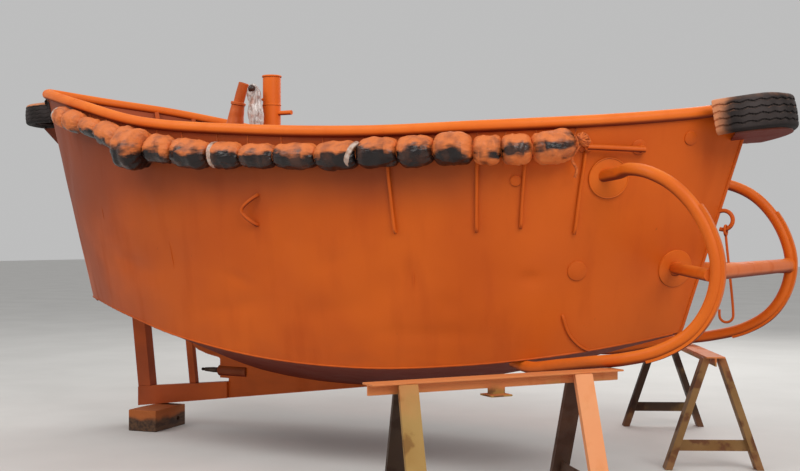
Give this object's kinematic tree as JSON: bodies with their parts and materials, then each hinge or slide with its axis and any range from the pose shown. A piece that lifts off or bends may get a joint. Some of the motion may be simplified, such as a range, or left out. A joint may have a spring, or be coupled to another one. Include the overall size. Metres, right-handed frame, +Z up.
{
  "type": "small steel push boat on trestles",
  "caption": "Small double-ended open steel work boat with pushing hoops at the bow, wrapped fender rolls under the rail and an engine casing with a stack, stored on trestles.",
  "frame": {"origin": "on the floor under the middle of the whole object's bounding box", "axes": "+X to the bow, +Y to port, +Z up; the boat's centreline lies at y = 0.216 m"},
  "size_m": [6.16, 4.4088, 2.7111],
  "materials": {
    "hull_paint": "satin",
    "trestle_paint": "worn",
    "tyre_rubber": "matt",
    "fender_wrap": "wrapped film",
    "clear_film": "crumpled film",
    "engine_iron": "matt",
    "shaft_steel": "worn",
    "block_timber": "rough"
  },
  "bodies": {
    "boat_on_trestles": {"hull_stern": "hull_paint", "hull_waist": "hull_paint", "hull_bow": "hull_paint", "rail_pipe_starboard": "hull_paint", "rail_pipe_port": "hull_paint", "foredeck": "hull_paint", "aft_deck": "hull_paint", "fore_bulkhead": "hull_paint", "aft_bulkhead": "hull_paint", "cockpit_sole": "hull_paint", "engine_casing": "hull_paint", "lid_hinge_ears": "hull_paint", "engine_block": "engine_iron", "exhaust_stack": "hull_paint", "vent_pipe": "hull_paint", "wrapped_control_stand": "clear_film", "deadwood": "hull_paint", "sole_piece": "hull_paint", "aft_post": "hull_paint", "middle_post": "hull_paint", "stern_tube": "hull_paint", "push_hoop_starboard": "hull_paint", "push_hoop_port": "hull_paint", "hoop_strut_starboard": "hull_paint", "hoop_strut_port": "hull_paint", "hoop_cross_tube": "hull_paint", "stem_eye": "hull_paint", "bow_bracket": "hull_paint", "bow_tyre": "tyre_rubber", "stern_bracket": "hull_paint", "stern_tyre": "tyre_rubber", "fender_row_starboard": "fender_wrap", "fender_row_port": "fender_wrap", "bow_bar_starboard": "hull_paint", "bow_bar_port": "hull_paint", "near_trestle_beam": "trestle_paint", "near_trestle_frame_a": "trestle_paint", "near_trestle_frame_b": "trestle_paint", "far_trestle_beam": "trestle_paint", "far_trestle_frame_a": "trestle_paint", "far_trestle_frame_b": "trestle_paint", "heel_block": "block_timber"},
    "lid": {"casing_lid": "hull_paint"},
    "hook": {"hook_rod": "hull_paint"},
    "shaft": {"propeller_shaft": "shaft_steel"}
  },
  "joints": [
    {"name": "lid_hinge", "type": "hinge", "parent": "boat_on_trestles", "child": "lid", "pos_m": [-0.126, 0.21607, 1.818], "axis": [0, 1, 0], "range_deg": [0, 100]},
    {"name": "hook_swing", "type": "hinge", "parent": "boat_on_trestles", "child": "hook", "pos_m": [2.655, 0.21607, 1.516], "axis": [1, 0, 0], "range_deg": [-60, 60]},
    {"name": "shaft_turn", "type": "hinge", "parent": "boat_on_trestles", "child": "shaft", "pos_m": [-1.2, 0.21607, 0.452], "axis": [1, 0, 0], "continuous": true}
  ]
}
